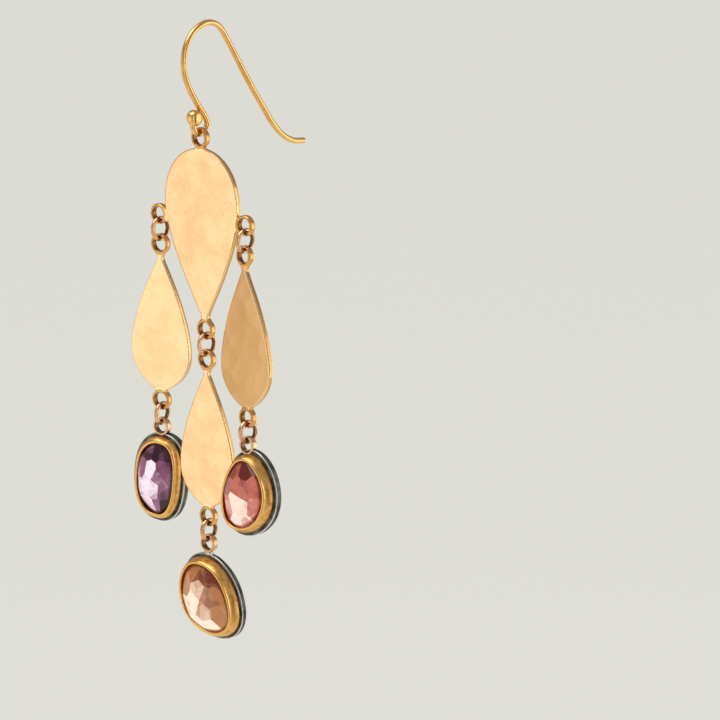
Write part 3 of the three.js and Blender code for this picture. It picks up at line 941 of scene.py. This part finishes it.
# In each arm the stone's look and cut tones hold painted light: dark is painted shade, pale painted highlight
arms = [
    {
        "name": "left", "x": sideRings["left"], "below": sideRings["below"], "swayDeg": 0,
        "turnDeg": 8, "leanDeg": 3.0, "rockDeg": 1.2, "jewelTurnDeg": 0, "slot": "mauve_stone", "seed": (5, 2, 1),
        "outline": {"x": -0.33, "z": -7.0, "halfWidth": 2.95, "halfHeight": 4.93, "roundness": 0.82,
                    "taper": 0, "tiltDeg": -5.6, "bow": 0.26, "rimY": -1.5, "backExtra": -0.02, "backY": 0.95},
        "look": {"dark": (0.03, 0.004, 0.014), "middle": (0.27, 0.10, 0.19), "pale": (0.95, 0.80, 0.93),
                 "shardScale": 0.45, "shardShift": (1, 4, 2), "shardAmount": 0.28, "rimStart": 0.1, "rimEnd": 0.6},
        "cuts": {"tableTone": 0.75, "facets": [
            {"turn": 90, "slope": 38, "rise": 0.1, "out": 4.5, "tone": 0.0},
            {"turn": 130, "slope": 34, "rise": 0.1, "out": 3.3, "tone": 0.25},
            {"turn": 180, "slope": 36, "rise": 0.1, "out": 2.5, "tone": 0.75},
            {"turn": 235, "slope": 34, "rise": 0.1, "out": 3.2, "tone": 1.15},
            {"turn": 275, "slope": 38, "rise": 0.1, "out": 4.4, "tone": 0.7},
            {"turn": 315, "slope": 36, "rise": 0.1, "out": 3.2, "tone": 0.0},
            {"turn": 0, "slope": 34, "rise": 0.1, "out": 2.5, "tone": 0.5},
            {"turn": 45, "slope": 36, "rise": 0.1, "out": 3.2, "tone": 0.25},
            {"turn": 20, "slope": 25, "rise": 0.42, "out": 2.0, "tone": 0.45},
            {"turn": 70, "slope": 25, "rise": 0.42, "out": 3.0, "tone": 0.08},
            {"turn": 110, "slope": 25, "rise": 0.42, "out": 3.0, "tone": 0.35},
            {"turn": 160, "slope": 25, "rise": 0.42, "out": 2.0, "tone": 0.5},
            {"turn": 200, "slope": 25, "rise": 0.42, "out": 2.0, "tone": 0.8},
            {"turn": 250, "slope": 25, "rise": 0.42, "out": 3.0, "tone": 1.},
            {"turn": 290, "slope": 25, "rise": 0.42, "out": 3.0, "tone": 0.55},
            {"turn": 340, "slope": 25, "rise": 0.42, "out": 2.0, "tone": 0.4},
            {"turn": 100, "slope": 6, "rise": 0.85, "out": 0.4, "tone": 1.0},
            {"turn": 200, "slope": 8, "rise": 0.85, "out": 0.3, "tone": 0.85},
            {"turn": 300, "slope": 7, "rise": 0.85, "out": 0.3, "tone": 0.75},
            {"turn": 10, "slope": 8, "rise": 0.85, "out": 0.3, "tone": 0.45},
        ]},
    },
    {
        "name": "right", "x": sideRings["right"], "below": sideRings["below"], "swayDeg": 4,
        "turnDeg": -5.7, "leanDeg": -5.45, "rockDeg": -2.4, "jewelTurnDeg": 5.7, "slot": "coral_stone", "seed": (8, 6, 3),
        "outline": {"x": 0.63, "z": -6.41, "halfWidth": 3.42, "halfHeight": 4.59, "roundness": 1.02,
                    "taper": -0.06, "tiltDeg": -15.5, "bow": -0.64, "rimY": -1.95, "backExtra": 0.05, "backY": 0.65},
        "look": {"dark": (0.11, 0.010, 0.008), "middle": (0.58, 0.15, 0.11), "pale": (1.0, 0.78, 0.68),
                 "shardScale": 0.4, "shardShift": (3, 7, 5), "shardAmount": 0.28, "rimStart": 0.1, "rimEnd": 0.6},
        "cuts": {"tableTone": 0.7, "facets": [
            {"turn": 90, "slope": 38, "rise": 0.1, "out": 4.3, "tone": 0.0},
            {"turn": 140, "slope": 34, "rise": 0.1, "out": 3.2, "tone": 0.25},
            {"turn": 190, "slope": 36, "rise": 0.1, "out": 3.1, "tone": 0.5},
            {"turn": 240, "slope": 34, "rise": 0.1, "out": 3.8, "tone": 0.8},
            {"turn": 285, "slope": 38, "rise": 0.1, "out": 4.2, "tone": 1.2},
            {"turn": 335, "slope": 36, "rise": 0.1, "out": 3.4, "tone": 0.45},
            {"turn": 25, "slope": 34, "rise": 0.1, "out": 3.2, "tone": 0.3},
            {"turn": 60, "slope": 36, "rise": 0.1, "out": 3.6, "tone": 0.05},
            {"turn": 20, "slope": 25, "rise": 0.42, "out": 2.3, "tone": 0.45},
            {"turn": 70, "slope": 25, "rise": 0.42, "out": 2.9, "tone": 0.05},
            {"turn": 115, "slope": 25, "rise": 0.42, "out": 2.9, "tone": 0.25},
            {"turn": 160, "slope": 25, "rise": 0.42, "out": 2.3, "tone": 0.3},
            {"turn": 200, "slope": 25, "rise": 0.42, "out": 2.3, "tone": 0.55},
            {"turn": 250, "slope": 25, "rise": 0.42, "out": 2.9, "tone": 1.1},
            {"turn": 290, "slope": 25, "rise": 0.42, "out": 2.9, "tone": 0.85},
            {"turn": 340, "slope": 25, "rise": 0.42, "out": 2.3, "tone": 0.6},
            {"turn": 120, "slope": 7, "rise": 0.85, "out": 0.4, "tone": 0.35},
            {"turn": 210, "slope": 8, "rise": 0.85, "out": 0.3, "tone": 1.0},
            {"turn": 300, "slope": 7, "rise": 0.85, "out": 0.3, "tone": 0.8},
            {"turn": 30, "slope": 8, "rise": 0.85, "out": 0.3, "tone": 0.35},
        ]},
    },
    {
        "name": "center", "x": 0, "below": mainPlate["ringToRing"], "swayDeg": 0,
        "turnDeg": 1, "leanDeg": 1.4, "rockDeg": 0, "jewelTurnDeg": 0, "slot": "champagne_stone", "seed": (2, 9, 6),
        "outline": {"x": 0.7, "z": -7.3, "halfWidth": 3.88, "halfHeight": 4.97, "roundness": 1.06,
                    "taper": 0.04, "tiltDeg": 38.7, "bow": 0.41, "rimY": -2.0, "backExtra": -0.05, "backY": 0.45},
        "look": {"dark": (0.15, 0.025, 0.010), "middle": (0.52, 0.22, 0.10), "pale": (1.0, 0.84, 0.68),
                 "shardScale": 0.4, "shardShift": (6, 2, 9), "shardAmount": 0.28, "rimStart": 0.1, "rimEnd": 0.6},
        "cuts": {"tableTone": 0.7, "facets": [
            {"turn": 75, "slope": 36, "rise": 0.1, "out": 3.9, "tone": 0.1},
            {"turn": 120, "slope": 34, "rise": 0.1, "out": 4.5, "tone": 0.2},
            {"turn": 175, "slope": 36, "rise": 0.1, "out": 3.6, "tone": 0.6},
            {"turn": 225, "slope": 34, "rise": 0.1, "out": 3.6, "tone": 1.2},
            {"turn": 275, "slope": 36, "rise": 0.1, "out": 4.0, "tone": 0.9},
            {"turn": 315, "slope": 36, "rise": 0.1, "out": 4.3, "tone": 0.25},
            {"turn": 0, "slope": 34, "rise": 0.1, "out": 3.5, "tone": 0.4},
            {"turn": 40, "slope": 36, "rise": 0.1, "out": 3.4, "tone": 0.3},
            {"turn": 20, "slope": 25, "rise": 0.42, "out": 2.6, "tone": 0.45},
            {"turn": 70, "slope": 25, "rise": 0.42, "out": 2.8, "tone": 0.28},
            {"turn": 115, "slope": 25, "rise": 0.42, "out": 3.0, "tone": 0.3},
            {"turn": 160, "slope": 25, "rise": 0.42, "out": 2.7, "tone": 0.45},
            {"turn": 200, "slope": 25, "rise": 0.42, "out": 2.6, "tone": 0.8},
            {"turn": 250, "slope": 25, "rise": 0.42, "out": 2.8, "tone": 1.1},
            {"turn": 290, "slope": 25, "rise": 0.42, "out": 3.0, "tone": 0.9},
            {"turn": 340, "slope": 25, "rise": 0.42, "out": 2.7, "tone": 0.5},
            {"turn": 110, "slope": 7, "rise": 0.85, "out": 0.4, "tone": 0.7},
            {"turn": 200, "slope": 8, "rise": 0.85, "out": 0.3, "tone": 1.1},
            {"turn": 290, "slope": 7, "rise": 0.85, "out": 0.3, "tone": 0.65},
            {"turn": 20, "slope": 8, "rise": 0.85, "out": 0.3, "tone": 0.4},
        ]},
    },
]
upperLink = {"bore": 1.1, "thickness": 0.6, "depth": 0.6, "rounding": 0.299}
lowerLink = {"bore": 0.98, "thickness": 0.64, "depth": 0.64, "rounding": 0.319}


def makeLink(name, link, place, node):
    piece = ringPiece(name, [(0, 0, 0)], link, faceSide, goldOfLinks)
    darkenInside(piece, link, faceSide)
    return finishPiece(piece, place, goldOfLinks, "drop", [node])


def makeArm(arm, finishes):
    name = arm["name"]
    swayed = Matrix.Rotation(math.radians(arm["swayDeg"]), 4, "Y")
    base = dropPlace @ Matrix.Translation((arm["x"], 0, -arm["below"])) @ swayed
    upperDrop = plateRing["bore"] + upperLink["bore"] - clearance
    makeLink(name + "UpperLink", upperLink, base @ Matrix.Translation((0, 0, -upperDrop)), name + "_link_upper")
    turned = Matrix.Rotation(math.radians(arm["turnDeg"]), 4, "Z")
    leaned = Matrix.Rotation(math.radians(arm["leanDeg"]), 4, "Y")
    rocked = Matrix.Rotation(math.radians(arm["rockDeg"]), 4, "X")
    hanging = base @ Matrix.Translation((0, 0, -2 * upperDrop)) @ rocked @ leaned @ turned
    makePlate(name + "Plate", smallPlate, [(0, 0, 0), (0, 0, -smallPlate["ringToRing"])], hanging, arm["seed"],
              goldOfPlates, name + "_plate")
    lowerBelow = smallPlate["ringToRing"] + plateRing["bore"] + lowerLink["bore"] - clearance
    makeLink(name + "LowerLink", lowerLink, hanging @ Matrix.Translation((0, 0, -lowerBelow)), name + "_link_lower")
    jewelBelow = lowerBelow + lowerLink["bore"] + settingRing["bore"] - clearance
    jewel = hanging @ Matrix.Translation((0, 0, -jewelBelow))
    jewel = jewel @ Matrix.Rotation(math.radians(arm["jewelTurnDeg"]), 4, "Z")
    makeSetting(name + "Setting", arm["outline"], jewel, finishes, name + "_setting")
    gemFinish = gemStone(name + "Gem", arm["look"])
    makeStone(name + "Stone", arm["outline"], arm["cuts"], jewel, gemFinish, name + "_stone")
    print(name, "arm is hung")


settingFinishes = {
    "silver": oxidisedSilver(), "bezel": bezelGold(), "ring": goldOfLinks, "solder": solderSilver(),
}
for arm in arms:
    makeArm(arm, settingFinishes)
